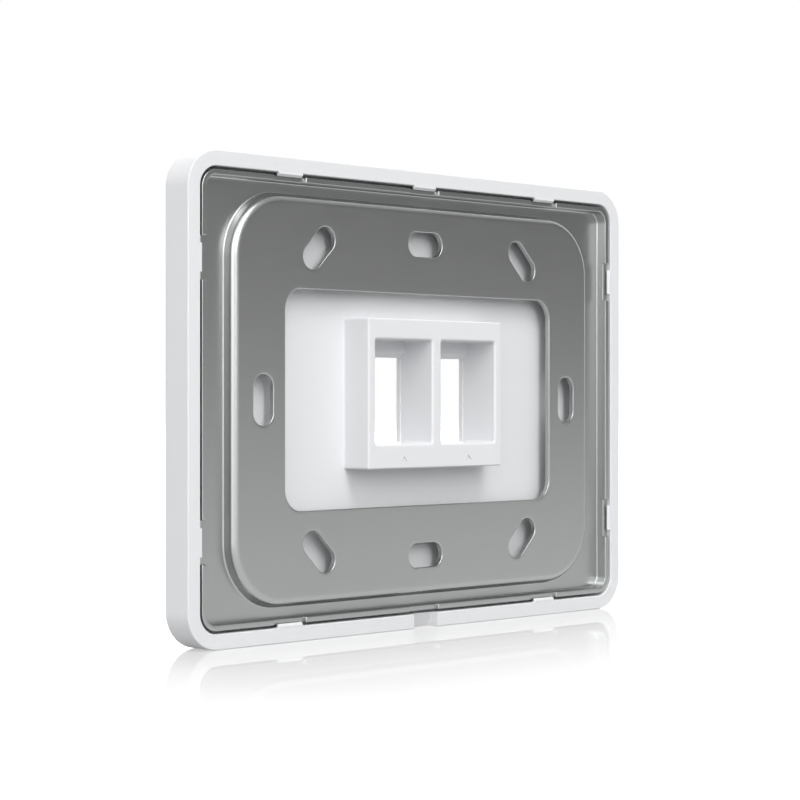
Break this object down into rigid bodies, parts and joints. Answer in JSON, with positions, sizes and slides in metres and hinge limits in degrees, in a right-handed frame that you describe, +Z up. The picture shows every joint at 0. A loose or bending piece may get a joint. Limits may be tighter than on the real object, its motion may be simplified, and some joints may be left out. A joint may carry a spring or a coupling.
{
  "type": "keystone faceplate",
  "caption": "Flat rounded wall faceplate with square keystone ports in a block on its back, snapped over a pressed steel mounting bracket with screw slots.",
  "frame": {"origin": "centre of the wall plane, in the middle of the bracket's raised platform", "axes": "+Y into the wall, +Z up, +X to the right as seen from the room"},
  "size_m": [0.1182, 0.0098, 0.0882],
  "materials": {
    "white_plastic": "fine satin moulding, pale cool white",
    "bright_steel": "bright zinc-plated sheet, smooth and softly reflecting"
  },
  "bodies": {
    "root": {"faceplate": "white_plastic", "mounting_bracket": "bright_steel"}
  },
  "joints": []
}
